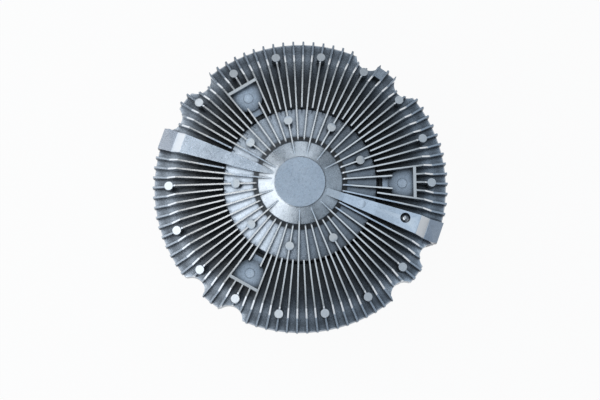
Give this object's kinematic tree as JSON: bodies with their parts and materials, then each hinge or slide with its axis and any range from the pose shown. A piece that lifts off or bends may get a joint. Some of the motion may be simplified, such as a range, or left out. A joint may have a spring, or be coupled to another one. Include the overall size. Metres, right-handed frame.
{
  "type": "viscous fan clutch",
  "caption": "Round finned aluminium fan clutch: a casing with radial cooling fins turns on a flanged shaft, driven through an oil labyrinth that a solenoid valve controls.",
  "frame": {"origin": "centre of the shaft flange's rear face, on the shaft axis", "axes": "+Z along the shaft axis toward the finned nose; +X through the first pocket of the cover"},
  "size_m": [0.28, 0.2798, 0.1325],
  "materials": {
    "cast_aluminium": "bare die casting, satin",
    "machined_aluminium": "machined",
    "turned_steel": "turned, lightly oiled",
    "bearing_steel": "ground",
    "spring_steel": "blued",
    "sheet_steel": "pressed",
    "zinc_steel": "zinc plated",
    "cage_brass": "machined",
    "copper": "enamelled wire",
    "seal_rubber": "matte",
    "black_plastic": "moulded"
  },
  "bodies": {
    "shaft": {"flanged_shaft": "turned_steel", "rotor_disc": "machined_aluminium", "rotor_nut": "turned_steel", "main_inner_ring": "bearing_steel", "magnet_inner_ring": "bearing_steel", "magnet_circlip": "spring_steel"},
    "housing": {"front_cover": "cast_aluminium", "rear_housing": "cast_aluminium", "cover_seal": "seal_rubber", "cover_screws": "zinc_steel", "channel_plugs": "zinc_steel", "fill_balls": "bearing_steel", "pump_wipers": "black_plastic", "reservoir_plate": "sheet_steel", "plate_snap_ring": "spring_steel", "valve_bracket": "sheet_steel", "bracket_rivets": "zinc_steel", "valve_pin": "bearing_steel", "valve_spring": "spring_steel", "main_outer_ring": "bearing_steel", "main_seals": "seal_rubber", "main_circlip": "spring_steel", "speed_ring": "turned_steel"},
    "valve": {"valve_lever": "spring_steel", "valve_armature": "turned_steel", "valve_pad": "seal_rubber"},
    "main_ball_set": {"main_balls": "bearing_steel", "main_cage": "cage_brass"},
    "solenoid": {"solenoid_case": "turned_steel", "solenoid_bobbin": "black_plastic", "solenoid_winding": "copper", "solenoid_cover": "black_plastic", "speed_sensor": "black_plastic", "cable_gland": "black_plastic", "torque_bracket": "sheet_steel", "bracket_screws": "zinc_steel", "magnet_outer_ring": "bearing_steel"},
    "magnet_ball_set": {"magnet_balls": "bearing_steel", "magnet_cage": "cage_brass"}
  },
  "joints": [
    {"name": "housing_spin", "type": "hinge", "parent": "shaft", "child": "housing", "pos_m": [0, 0, 0.069], "axis": [0, 0, 1], "continuous": true},
    {"name": "main_ball_spin", "type": "hinge", "parent": "shaft", "child": "main_ball_set", "pos_m": [0, 0, 0.069], "axis": [0, 0, 1], "continuous": true},
    {"name": "valve_tilt", "type": "hinge", "parent": "housing", "child": "valve", "pos_m": [0, -0.046, 0.1152], "axis": [-1, 0, 0], "range_deg": [0, 1.65], "stiffness_Nm_per_rad": 5, "springref_deg": -2.86},
    {"name": "solenoid_spin", "type": "hinge", "parent": "shaft", "child": "solenoid", "pos_m": [0, 0, 0.034], "axis": [0, 0, 1], "continuous": true},
    {"name": "magnet_ball_spin", "type": "hinge", "parent": "shaft", "child": "magnet_ball_set", "pos_m": [0, 0, 0.034], "axis": [0, 0, 1], "continuous": true}
  ],
  "couplings": [
    {"joint": "main_ball_spin", "follows": "housing_spin", "ratio": 0.5888},
    {"joint": "magnet_ball_spin", "follows": "solenoid_spin", "ratio": 0.5531}
  ]
}
